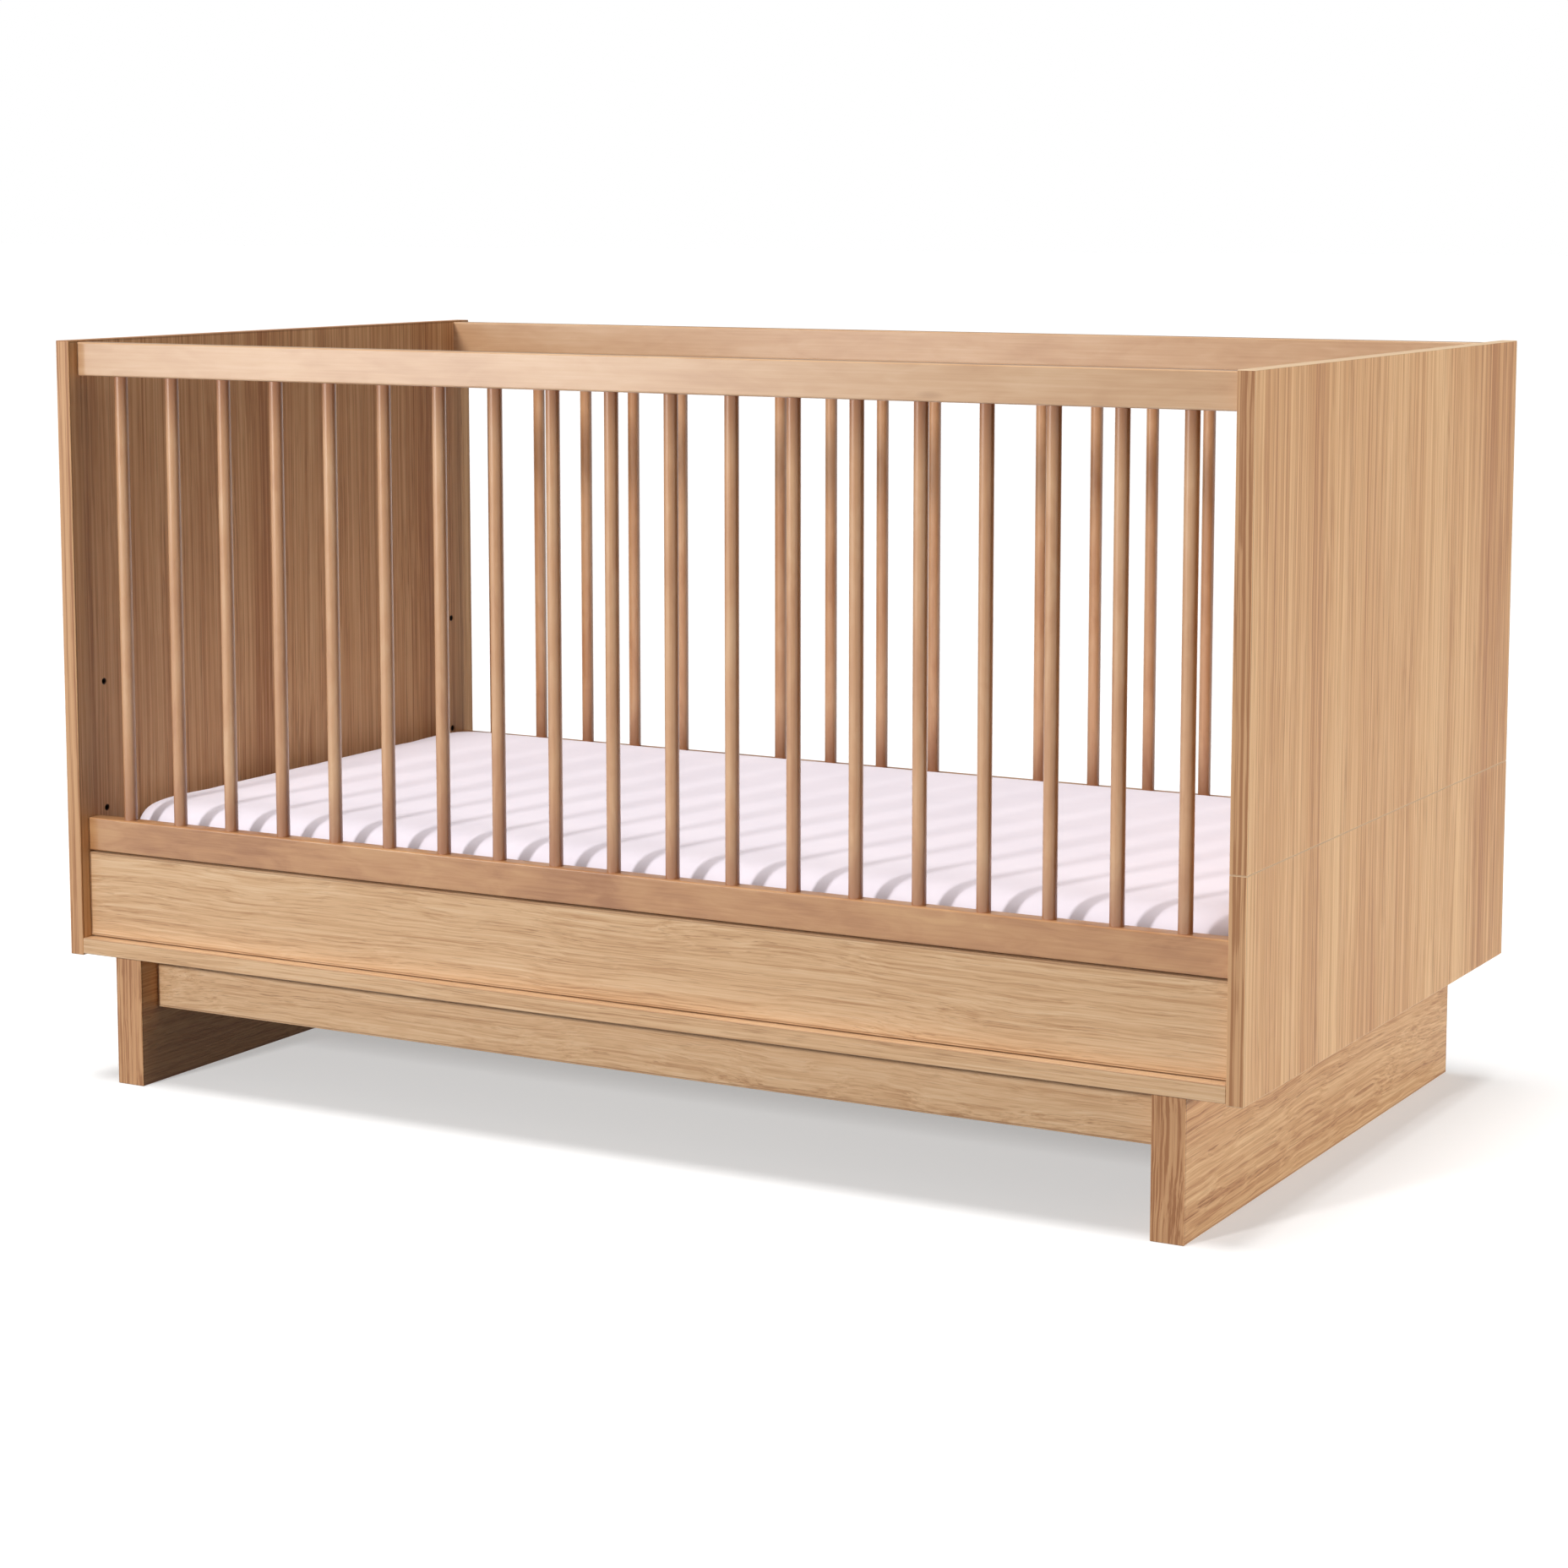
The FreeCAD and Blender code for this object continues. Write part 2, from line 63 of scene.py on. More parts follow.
class Graph:
    """A material's node tree, with one short call for each kind of node used here."""

    def __init__(self, name):
        self.material = bpy.data.materials.new(name)
        self.material.use_nodes = True
        self.tree = self.material.node_tree
        self.tree.nodes.clear()
        self.coords = self.put("ShaderNodeTexCoord")

    def put(self, kind, inputs=None, **settings):
        made = self.tree.nodes.new(kind)
        for key, value in settings.items():
            setattr(made, key, value)
        for key, value in (inputs or {}).items():
            self.feed(made.inputs[key], value)
        return made

    def feed(self, socket, value):
        if isinstance(value, bpy.types.NodeSocket):
            self.tree.links.new(value, socket)
        else:
            socket.default_value = value

    def value(self, operation, first, second=0.0, third=0.0):
        return self.put("ShaderNodeMath", {0: first, 1: second, 2: third}, operation=operation).outputs[0]

    def vector(self, operation, first, second=(0.0, 0.0, 0.0)):
        made = self.put("ShaderNodeVectorMath", {0: first, 1: second}, operation=operation)
        return made.outputs[0]

    def split(self, vector):
        made = self.put("ShaderNodeSeparateXYZ", {0: vector})
        return [made.outputs[0], made.outputs[1], made.outputs[2]]

    def join(self, first, second, third):
        return self.put("ShaderNodeCombineXYZ", {0: first, 1: second, 2: third}).outputs[0]

    def noise(self, vector, detail=3.0, roughness=0.55, scale=1.0, distortion=0.0):
        made = self.put("ShaderNodeTexNoise", {
            "Vector": vector, "Scale": scale, "Detail": detail, "Roughness": roughness,
            "Distortion": distortion})
        return made.outputs[0]

    def span(self, value, low, high, to_low=0.0, to_high=1.0):
        """Takes low..high to to_low..to_high, and holds whatever is outside at the nearer end."""
        made = self.put("ShaderNodeMapRange", {0: value, 1: low, 2: high, 3: to_low, 4: to_high}, clamp=True)
        return made.outputs[0]

    def ramp(self, value, *stops):
        made = self.put("ShaderNodeValToRGB", {0: value})
        colours = made.color_ramp
        while len(colours.elements) < len(stops):
            colours.elements.new(0.5)
        for element, (place, colour) in zip(colours.elements, stops):
            element.position = place
            element.color = colour
        return made.outputs[0]

    def mix(self, share, first, second, blend="MIX"):
        made = self.put("ShaderNodeMix", {0: share, 6: first, 7: second}, data_type="RGBA", blend_type=blend)
        return made.outputs[2]

    def blend_vectors(self, share, first, second):
        made = self.put("ShaderNodeMix", {0: share, 4: first, 5: second}, data_type="VECTOR")
        return made.outputs[1]

    def bump(self, height, strength, distance):
        made = self.put("ShaderNodeBump", {"Height": height, "Strength": strength, "Distance": distance})
        return made.outputs[0]

    def finish(self, **inputs):
        names = {key.replace("_", " ").title(): value for key, value in inputs.items()}
        names = {("IOR" if key == "Ior" else key): value for key, value in names.items()}
        shader = self.put("ShaderNodeBsdfPrincipled", names)
        output = self.put("ShaderNodeOutputMaterial")
        self.tree.links.new(shader.outputs[0], output.inputs[0])
        return self.material


def along(graph, parts, grain):
    """The point's coordinates turned so that the third runs along the grain."""
    across = [axis for axis in (X, Y, Z) if axis != grain]
    return graph.join(parts[across[0]], parts[across[1]], parts[grain])


# ---------------------------------------------------------------- wood

PANEL_OAK = (srgb(172, 114, 66), srgb(208, 158, 108), srgb(232, 190, 140), srgb(136, 84, 46))
BOARD_OAK = (srgb(178, 134, 94), srgb(212, 174, 134), srgb(228, 197, 161), srgb(136, 94, 62))


def oak_laminate(name, node, grain, seed, palette=PANEL_OAK, turned=None, wave=0.5, bands=1.0, reach=1.0,
                 fine=1.0, crisp=1.0, lined=0.0, rim=0.0):
    """Printed oak-effect board. The grain runs along one axis, and along turned[1] on the edges that face
    turned[0]. wave bends the figure, bands is the contrast of its broad bands, reach is how far a streak
    runs, fine makes the lines and pores narrower, and crisp is how strongly they show. lined is how
    strongly the narrow edges are lined, and rim is how much paler an upright board is within a millimetre
    of its ends."""
    dark, mid, light, deep = palette
    graph = Graph(name)
    place = graph.coords.outputs["Object"]
    low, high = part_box(node)
    parts = graph.split(graph.vector("ADD", place, (seed * 0.731, seed * 1.277, seed * 0.419)))
    point = along(graph, parts, grain)
    facing = graph.vector("ABSOLUTE", graph.coords.outputs["Normal"])
    if turned:
        side = graph.split(facing)[turned[0]]
        share = graph.span(side, 0.65, 0.75)
        point = graph.blend_vectors(share, point, along(graph, parts, turned[1]))

    # slow waves bend the figure, so that it never runs ruler-straight
    drift = graph.noise(graph.vector("MULTIPLY", point, (5.0, 5.0, 1.6)), detail=2.0)
    drift = graph.value("MULTIPLY", graph.value("SUBTRACT", drift, 0.5), 0.055 * wave)
    ripple = graph.noise(graph.vector("MULTIPLY", point, (26.0, 26.0, 9.0)), detail=2.0)
    ripple = graph.value("MULTIPLY", graph.value("SUBTRACT", ripple, 0.5), 0.008 * wave)
    shift = graph.value("ADD", drift, ripple)
    point = graph.vector("ADD", point, graph.join(shift, shift, 0.0))

    broad = graph.noise(graph.vector("MULTIPLY", point, (12.0, 12.0, 0.4)), detail=2.0, roughness=0.5)
    wide = (70.0, 70.0, 1.2 / reach)
    stripe = graph.noise(graph.vector("MULTIPLY", point, wide), detail=3.0, roughness=0.6)
    narrow = (230.0 * fine, 230.0 * fine, 4.5 / reach)
    line = graph.noise(graph.vector("MULTIPLY", point, narrow), detail=3.0, roughness=0.65)
    dashes = (430.0 * fine, 430.0 * fine, 22.0 / reach)
    fleck = graph.noise(graph.vector("MULTIPLY", point, dashes), detail=2.0, roughness=0.6)

    tone = graph.value("MULTIPLY", graph.value("SUBTRACT", broad, 0.5), bands)
    tone = graph.value("MULTIPLY_ADD", graph.value("SUBTRACT", stripe, 0.5), 0.5, tone)
    tone = graph.value("MULTIPLY_ADD", graph.value("SUBTRACT", line, 0.5), 1.7 * crisp, tone)
    tone = graph.value("ADD", tone, 0.5)
    colour = graph.ramp(tone, (0.12, dark), (0.5, mid), (0.88, light))

    # open pores: short dark dashes that follow the figure
    pore = graph.span(fleck, 0.56, 0.64)
    pore = graph.value("MULTIPLY", pore, graph.span(stripe, 0.68, 0.34))
    colour = graph.mix(graph.value("MULTIPLY", pore, 0.62 * crisp), colour, deep)

    # the edge bands are cut from darker stock, with thin dark lines along them
    thin = min((X, Y, Z), key=lambda axis: high[axis] - low[axis])
    banded = graph.value("MULTIPLY", graph.span(graph.split(facing)[thin], 0.6, 0.4), lined)
    colour = graph.mix(banded, colour, srgb(188, 142, 106))
    colour = graph.mix(graph.value("MULTIPLY", banded, graph.span(line, 0.50, 0.42)), colour, deep)

    # the edge band's joint, a hairline just inside the board's big faces
    flat = graph.span(graph.split(facing)[thin], 0.85, 0.95)
    mine = graph.split(place)
    gaps = []
    for axis in (X, Y, Z):
        if axis != thin and not (rim and axis == Z):
            middle = (low[axis] + high[axis]) / 2
            half = (high[axis] - low[axis]) / 2
            off = graph.value("ABSOLUTE", graph.value("SUBTRACT", mine[axis], middle))
            gaps.append(graph.value("SUBTRACT", half, off))
    gap = graph.value("MINIMUM", gaps[0], gaps[-1])
    hairline = graph.value("MULTIPLY", graph.span(gap, 1.0 * MM, 1.5 * MM),
                           graph.span(gap, 2.8 * MM, 2.2 * MM))
    hairline = graph.value("MULTIPLY", hairline, flat)
    colour = graph.mix(graph.value("MULTIPLY", hairline, 0.6), colour, deep)

    # painted shade: a thin dark line along each board's rounded upper edge
    painted_edge_shade = graph.value("SUBTRACT", float(high[Z]), mine[Z])
    painted_edge_shade = graph.value("MULTIPLY", graph.span(painted_edge_shade, 1.3 * MM, 0.5 * MM),
                        graph.span(graph.split(facing)[Z], 0.97, 0.75))
    colour = graph.mix(graph.value("MULTIPLY", painted_edge_shade, 0.75), colour, deep)
    if rim:
        # the two upright boards that meet are paler within a millimetre of their ends
        ends = graph.value(
            "MINIMUM", graph.value("ABSOLUTE", graph.value("SUBTRACT", mine[Z], float(low[Z]))),
            graph.value("ABSOLUTE", graph.value("SUBTRACT", mine[Z], float(high[Z]))))
        pale = graph.span(ends, 1.0 * MM, 0.6 * MM)
        colour = graph.mix(graph.value("MULTIPLY", pale, rim), colour, srgb(240, 214, 178))

    height = graph.value("MULTIPLY_ADD", pore, -0.8, graph.value("MULTIPLY", line, 0.5))
    height = graph.value("SUBTRACT", height, graph.value("MULTIPLY", hairline, 1.2))
    normal = graph.bump(height, 0.35, 0.25 * MM)
    rough = graph.value("MULTIPLY_ADD", stripe, 0.12, graph.value("MULTIPLY_ADD", pore, 0.12, 0.46))
    return graph.finish(base_color=colour, roughness=rough, normal=normal, coat_weight=0.08,
                        coat_roughness=0.4)


def solid_wood(name, grain, seed, dark, mid, light, gloss=0.36, knots=0.0, mottle=1.0, ends=None):
    """Lacquered close-grained hardwood: soft clouding, faint fibres along the grain, and here and there a pin
    knot. ends are the two heights where a turned piece enters its rails: the wood is painted darker towards
    them, as painted shade from the rails."""
    graph = Graph(name)
    place = graph.coords.outputs["Object"]
    parts = graph.split(graph.vector("ADD", place, (seed * 0.913, seed * 0.577, seed * 1.133)))
    point = along(graph, parts, grain)
    cloud = graph.noise(graph.vector("MULTIPLY", point, (16.0, 16.0, 5.5)), detail=3.0, roughness=0.5,
                        distortion=0.6)
    flame = graph.noise(graph.vector("MULTIPLY", point, (60.0, 60.0, 14.0)), detail=3.0, roughness=0.55,
                        distortion=0.9)
    fibre = graph.noise(graph.vector("MULTIPLY", point, (420.0, 420.0, 7.0)), detail=3.0, roughness=0.6)
    tone = graph.value("MULTIPLY", graph.value("SUBTRACT", cloud, 0.5), 0.95 * mottle)
    tone = graph.value("MULTIPLY_ADD", graph.value("SUBTRACT", flame, 0.5), 0.6 * mottle, tone)
    tone = graph.value("MULTIPLY_ADD", graph.value("SUBTRACT", fibre, 0.5), 0.45, tone)
    tone = graph.value("ADD", tone, 0.5)
    colour = graph.ramp(tone, (0.15, dark), (0.5, mid), (0.85, light))
    if knots:
        spaced = graph.vector("MULTIPLY", point, (11.0, 11.0, 3.2))
        cells = graph.put("ShaderNodeTexVoronoi", {"Vector": spaced, "Scale": 1.0})
        spot = graph.value("MULTIPLY", graph.span(cells.outputs["Distance"], 0.07, 0.02), knots)
        colour = graph.mix(spot, colour, srgb(120, 76, 44))
    # painted shade: each spindle is painted darker over its last 70 mm or so towards the rails it enters
    if ends:
        reach = graph.value("MULTIPLY_ADD", graph.value("SUBTRACT", flame, 0.5), 40 * MM,
                            graph.split(place)[Z])
        from_low = graph.value("SUBTRACT", reach, float(ends[0]))
        from_high = graph.value("SUBTRACT", float(ends[1]), reach)
        stain_and_shade = graph.span(graph.value("MINIMUM", from_low, from_high), 70 * MM, 0.0)
        colour = graph.mix(graph.value("MULTIPLY", stain_and_shade, 0.75), colour, srgb(150, 92, 56))
    height = graph.value("MULTIPLY_ADD", fibre, 0.6, graph.value("MULTIPLY", flame, 0.3))
    normal = graph.bump(height, 0.12, 0.2 * MM)
    rough = graph.value("MULTIPLY_ADD", fibre, 0.10, gloss - 0.05)
    return graph.finish(base_color=colour, roughness=rough, normal=normal, coat_weight=0.7,
                        coat_roughness=0.24)


# ---------------------------------------------------------------- metal and cloth

def metal(name, bright, rough, streak):
    """Plated or cast metal with handling marks."""
    graph = Graph(name)
    place = graph.coords.outputs["Object"]
    brushed = graph.noise(graph.vector("MULTIPLY", place, streak), detail=4.0, roughness=0.65)
    stain_and_shade = graph.noise(place, scale=90.0, detail=3.0)
    dull = tuple(part * 0.78 for part in bright[:3]) + (1.0,)
    colour = graph.mix(graph.span(stain_and_shade, 0.35, 0.75), bright, dull)
    roughness = graph.span(brushed, 0.2, 0.8, rough - 0.08, rough + 0.12)
    normal = graph.bump(brushed, 0.2, 0.05 * MM)
    return graph.finish(base_color=colour, roughness=roughness, normal=normal, metallic=1.0)


def woven(name, tint, shade, pitch, sheen, depth=0.12):
    """Plain cotton weave: over-and-under threads at their real pitch, slubs, and soft laundry clouding."""
    graph = Graph(name)
    place = graph.coords.outputs["Object"]
    parts = graph.split(place)
    slub = graph.noise(place, scale=140.0, detail=3.0)
    threads = []
    for axis in (X, Y, Z):
        turn = graph.value("MULTIPLY", parts[axis], 2 * math.pi / pitch)
        threads.append(graph.value("SINE", graph.value("MULTIPLY_ADD", slub, 2.5, turn)))
    facing = graph.split(graph.vector("ABSOLUTE", graph.coords.outputs["Normal"]))
    top = graph.value("MULTIPLY", threads[X], threads[Y])
    front = graph.value("MULTIPLY", threads[X], threads[Z])
    end = graph.value("MULTIPLY", threads[Y], threads[Z])
    weave = graph.value("MULTIPLY", top, facing[Z])
    weave = graph.value("MULTIPLY_ADD", front, facing[Y], weave)
    weave = graph.value("MULTIPLY_ADD", end, facing[X], weave)
    cloud = graph.noise(place, scale=7.0, detail=4.0, roughness=0.6)
    colour = graph.mix(graph.span(cloud, 0.3, 0.7), shade, tint)
    # painted shade: the hollows of the weave are a touch greyer
    colour = graph.mix(graph.span(weave, -1.0, 1.0, 0.10, 0.0), colour, srgb(196, 190, 198))
    height = graph.value("MULTIPLY_ADD", slub, 0.6, graph.value("MULTIPLY", weave, 0.5))
    normal = graph.bump(height, depth, 0.3 * MM)
    rough = graph.span(slub, 0.2, 0.8, 0.82, 0.95)
    return graph.finish(base_color=colour, roughness=rough, normal=normal, sheen_weight=sheen,
                        sheen_roughness=0.5)


# ---------------------------------------------------------------- which node wears what

def dress(node, material):
    """Gives a CAD node's own material slots this finish."""
    piece = nodes[node]
    if not piece.material_slots:
        piece.data.materials.append(material)
    for number in range(len(piece.material_slots)):
        piece.material_slots[number].material = material


UPRIGHT = dict(grain=Z, turned=(Z, Y), wave=0.3, bands=0.9, reach=3.0, fine=1.3, lined=0.6)
LONG = dict(grain=X, palette=BOARD_OAK, bands=0.35, fine=1.8, crisp=0.75)
dress("left_end_panel", oak_laminate("oak_left_end", "left_end_panel", seed=1.0, **UPRIGHT))
for board in ("upper", "lower"):
    node = f"right_end_panel_{board}"
    dress(node, oak_laminate(f"oak_right_{board}", node, seed=2.0, rim=0.7, **UPRIGHT))
for number, side in enumerate(("front", "back")):
    for order, (board, wave) in enumerate((("apron", 0.8), ("ledge", 0.3), ("stretcher", 1.5))):
        node = f"{side}_{board}"
        dress(node, oak_laminate(f"oak_{node}", node, seed=5.0 + number * 4 + order, wave=wave, **LONG))
for number, side in enumerate(("left", "right")):
    node = f"{side}_leg"
    dress(node, oak_laminate(f"oak_{node}", node, grain=Y, turned=(Y, Z), seed=21.0 + number, wave=1.1,
                             bands=0.6, reach=1.5, fine=1.5, lined=0.6))

# painted light and shade: the top rails wear a paler copy of the rail wood's colour, and the bottom rails a
# darker copy
LIT_AND_SHADED_RAIL_TONES = dict(
    top=(srgb(184, 140, 102), srgb(202, 162, 124), srgb(216, 182, 146)),
    bottom=(srgb(158, 106, 66), srgb(182, 132, 88), srgb(198, 152, 106)))
RAIL_MOTTLE = dict(top=0.8, bottom=1.5)
SPINDLE_TONES = (srgb(180, 126, 86), srgb(204, 155, 113), srgb(220, 180, 140))
for number, side in enumerate(("front", "back")):
    for place, tones in LIT_AND_SHADED_RAIL_TONES.items():
        node = f"{side}_{place}_rail"
        dress(node, solid_wood(f"wood_{node}", X, 3.0 + number + len(place), *tones, knots=0.5,
                               mottle=RAIL_MOTTLE[place]))
    shaft = (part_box(f"{side}_bottom_rail")[1][Z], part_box(f"{side}_top_rail")[0][Z])
    count = 0
    while f"{side}_spindle_{count + 1:02d}" in nodes:
        count += 1
        node = f"{side}_spindle_{count:02d}"
        dress(node, solid_wood(f"wood_{node}", Z, count * 1.7 + number * 40, *SPINDLE_TONES, gloss=0.34,
                               ends=shaft))

FRAME_TONES = (srgb(205, 168, 122), srgb(222, 190, 148), srgb(236, 210, 172))
SLAT_TONES = (srgb(212, 178, 132), srgb(229, 200, 160), srgb(240, 218, 184))
dress("base_frame", solid_wood("wood_base_frame", X, 61.0, *FRAME_TONES, gloss=0.5, knots=0.6))
dress("base_slats", solid_wood("wood_base_slats", Y, 67.0, *SLAT_TONES, gloss=0.5))
dress("base_brackets", metal("steel_brackets", srgb(186, 188, 192), 0.38, (900.0, 900.0, 60.0)))
dress("bracket_bolts", metal("steel_bolts", srgb(204, 205, 208), 0.28, (300.0, 1500.0, 1500.0)))
dress("threaded_inserts", metal("steel_inserts", srgb(96, 88, 80), 0.42, (1200.0, 1200.0, 1200.0)))
dress("cam_fittings", metal("zinc_cams", srgb(170, 171, 174), 0.45, (500.0, 500.0, 500.0)))


# ---------------------------------------------------------------- mattress and fitted sheet

def box_grid(counts):
    """The points of a box's surface as fractions of its sides, and its faces, with that many faces along each
    side."""
    numbers, points, faces = {}, [], []

    def point(key):
        if key not in numbers:
            numbers[key] = len(points)
            points.append([key[axis] / counts[axis] for axis in (X, Y, Z)])
        return numbers[key]

    for axis in (X, Y, Z):
        first, second = (axis + 1) % 3, (axis + 2) % 3
        for end in (0, counts[axis]):
            for i in range(counts[first]):
                for j in range(counts[second]):
                    ring = []
                    for step_i, step_j in ((0, 0), (1, 0), (1, 1), (0, 1)):
                        key = [0, 0, 0]
                        key[axis], key[first], key[second] = end, i + step_i, j + step_j
                        ring.append(point(tuple(key)))
                    faces.append(ring if end else ring[::-1])
    return np.array(points), faces


def slab_distance(points, half, corner, top_round, bottom_round):
    """How far each point is outside a slab centred on the origin, with corners rounded in plan and long edges
    rounded too."""
    reach = np.abs(points[:, :2]) - (half[:2] - corner)
    plan = np.linalg.norm(np.maximum(reach, 0), axis=1) + np.minimum(reach.max(1), 0) - corner
    soft = np.where(points[:, 2] > 0, top_round, bottom_round)
    side = plan + soft
    rise = np.abs(points[:, 2]) - half[2] + soft
    outside = np.hypot(np.maximum(side, 0), np.maximum(rise, 0))
    return outside + np.minimum(np.maximum(side, rise), 0) - soft


SETTLING_STEPS = 24         # moves towards the surface, more than enough to arrive


def slab(low, high, corner, top_round, bottom_round, step):
    """Points and faces of a soft-edged slab between two corners, in even quads."""
    low, high = np.array(low), np.array(high)
    half, centre = (high - low) / 2, (high + low) / 2
    counts = [max(4, round(2 * size / step)) for size in half]
    points, faces = box_grid(counts)
    points = (points * 2 - 1) * half
    reach = 0.05 * MM
    for settling in range(SETTLING_STEPS):
        away = slab_distance(points, half, corner, top_round, bottom_round)
        slope = np.stack([
            slab_distance(points + reach * np.eye(3)[axis], half, corner, top_round, bottom_round) - away
            for axis in (X, Y, Z)], 1) / reach
        slope /= np.maximum(np.linalg.norm(slope, axis=1, keepdims=True), 1e-9)
        points = points - slope * away[:, None]
    return points + centre, faces


def new_piece(name, points, faces, material):
    """A smooth-shaded mesh object of these points and faces."""
    mesh = bpy.data.meshes.new(name)
    mesh.from_pydata([tuple(point) for point in points], [], faces)
    mesh.validate()
    mesh.shade_smooth()
    mesh.materials.append(material)
    piece = bpy.data.objects.new(name, mesh)
    bpy.context.scene.collection.objects.link(piece)
    return piece


def apply_modifiers(piece):
    """Makes the modified shape the piece's own mesh."""
    shaped = piece.evaluated_get(bpy.context.evaluated_depsgraph_get())
    mesh = bpy.data.meshes.new_from_object(shaped)
    piece.modifiers.clear()
    piece.data = mesh


def points_of(mesh):
    flat = np.zeros(len(mesh.vertices) * 3)
    mesh.vertices.foreach_get("co", flat)
    return flat.reshape(-1, 3)


def set_points(mesh, points):
    mesh.vertices.foreach_set("co", points.astype(np.float32).ravel())
    mesh.update()


low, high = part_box("mattress")
CLOTH = 0.8 * MM            # the sheet's thickness
GAP = 0.4 * MM              # air between the sheet and the mattress cover
SWELL = 3.0 * MM            # how far the foam may push the cover out
CROWN = 2.5 * MM            # how far the middle of the top rises above the plain slab
HEM = 1.6 * MM              # room under the mattress for the gathered hem
BORDER = CLOTH + GAP
SIDE_INSET = 1.0 * MM       # of the foam, further in than the border, at its sides
TOP_INSET = 0.5 * MM        # and at its top
CORNER = 60 * MM            # the mattress's corners in plan
TOP_ROUND = 32 * MM         # its upper edges
BOTTOM_ROUND = 15 * MM      # its lower edges
FOAM_GRID = 14 * MM
SHEET_GRID = 10 * MM
FOAM_VOXEL = 9 * MM
SWELL_FRAMES = 20           # frames of cloth simulation

ticking = woven("mattress_ticking", srgb(244, 243, 240), srgb(232, 231, 228), 1.1 * MM, 0.15, depth=0.3)
percale = woven("white_percale", srgb(228, 221, 230), srgb(221, 214, 224), 0.7 * MM, 0.15)

foam_low = Vector(low) + Vector((BORDER + SIDE_INSET, BORDER + SIDE_INSET, BORDER + HEM))
foam_high = Vector(high) - Vector((BORDER + SIDE_INSET, BORDER + SIDE_INSET, BORDER + TOP_INSET))
foam_points, foam_faces = slab(foam_low, foam_high, CORNER, TOP_ROUND, BOTTOM_ROUND, FOAM_GRID)
mattress = new_piece("foam_mattress", foam_points, foam_faces, ticking)


def swell(piece, voxel, cap):
    """Lets the foam push its cover out under cloth simulation, then holds every point within cap of where it
    started."""
    remesh = piece.modifiers.new("remesh", "REMESH")
    remesh.mode = "VOXEL"
    remesh.voxel_size = voxel
    apply_modifiers(piece)
    start = points_of(piece.data)
    cloth = piece.modifiers.new("cloth", "CLOTH")
    cloth.settings.quality = 5
    cloth.settings.mass = 0.3
    cloth.settings.tension_stiffness = 15
    cloth.settings.compression_stiffness = 15
    cloth.settings.bending_stiffness = 1.0
    cloth.settings.use_pressure = True
    cloth.settings.uniform_pressure_force = 4
    cloth.settings.effector_weights.gravity = 0
    scene = bpy.context.scene
    for step in range(1, SWELL_FRAMES + 1):
        scene.frame_set(step)
    shaped = piece.evaluated_get(bpy.context.evaluated_depsgraph_get())
    moved = points_of(shaped.data)
    piece.modifiers.clear()
    scene.frame_set(1)
    push = moved - start
    size = np.linalg.norm(push, axis=1, keepdims=True)
    set_points(piece.data, start + push * np.minimum(1, cap / np.maximum(size, 1e-9)))
    piece.data.shade_smooth()


swell(mattress, FOAM_VOXEL, SWELL)
rest = points_of(mattress.data)
rest[:, 2] = np.clip(rest[:, 2], foam_low.z, high.z - BORDER + CROWN)
rest[:, 0] = np.clip(rest[:, 0], low.x + BORDER, high.x - BORDER)
rest[:, 1] = np.clip(rest[:, 1], low.y + BORDER, high.y - BORDER)
set_points(mattress.data, rest)
finer = mattress.modifiers.new("finer", "SUBSURF")
finer.levels = 1
finer.render_levels = 1
apply_modifiers(mattress)
mattress.data.shade_smooth()
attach(mattress, "mattress")
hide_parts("mattress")

TUCK = 95 * MM              # cloth turned under the mattress all round
UNDERSIDE = 0.5 * MM        # what lies this low is under the mattress
FOLD_CORNER = 0.06          # metres in from each side to where the corner folds gather
FOLD_SPREAD = 0.10          # metres over which they die away
FOLD_RATE = 170             # radians per metre, across the folds
FOLD_BEND = 60              # radians per metre of height
FOLD_SWAY = 0.8
FOLD_DEPTH = 1.1 * MM
HEM_LEVEL = 0.95            # share of the way down, below which the hem is
HEM_START = 0.45            # share of the tuck that is still smooth
PUCKER_RATE = 420           # radians per metre
PUCKER_DEPTH = 0.5 * MM
sheet_low = foam_low - Vector((GAP, GAP, GAP))
sheet_high = foam_high + Vector((GAP, GAP, GAP))
sheet_points, sheet_faces = slab(sheet_low, sheet_high, CORNER, TOP_ROUND, BOTTOM_ROUND, SHEET_GRID)
middle = np.array((sheet_low + sheet_high) / 2)
half = np.array((sheet_high - sheet_low) / 2)
inset = (half[:2] - np.abs(sheet_points[:, :2] - middle[:2])).min(1)
under = sheet_points[:, 2] < sheet_low.z + UNDERSIDE
opened = under & (inset > TUCK)
sheet_faces = [face for face in sheet_faces if not any(opened[corner] for corner in face)]
used = sorted({corner for face in sheet_faces for corner in face})
renumbered = {old: new for new, old in enumerate(used)}
sheet_faces = [[renumbered[corner] for corner in face] for face in sheet_faces]
sheet = new_piece("fitted_sheet", sheet_points[used], sheet_faces, percale)

wrap = sheet.modifiers.new("wrap", "SHRINKWRAP")
wrap.target = mattress
wrap.wrap_method = "NEAREST_SURFACEPOINT"
wrap.wrap_mode = "OUTSIDE_SURFACE"
wrap.offset = GAP
apply_modifiers(sheet)

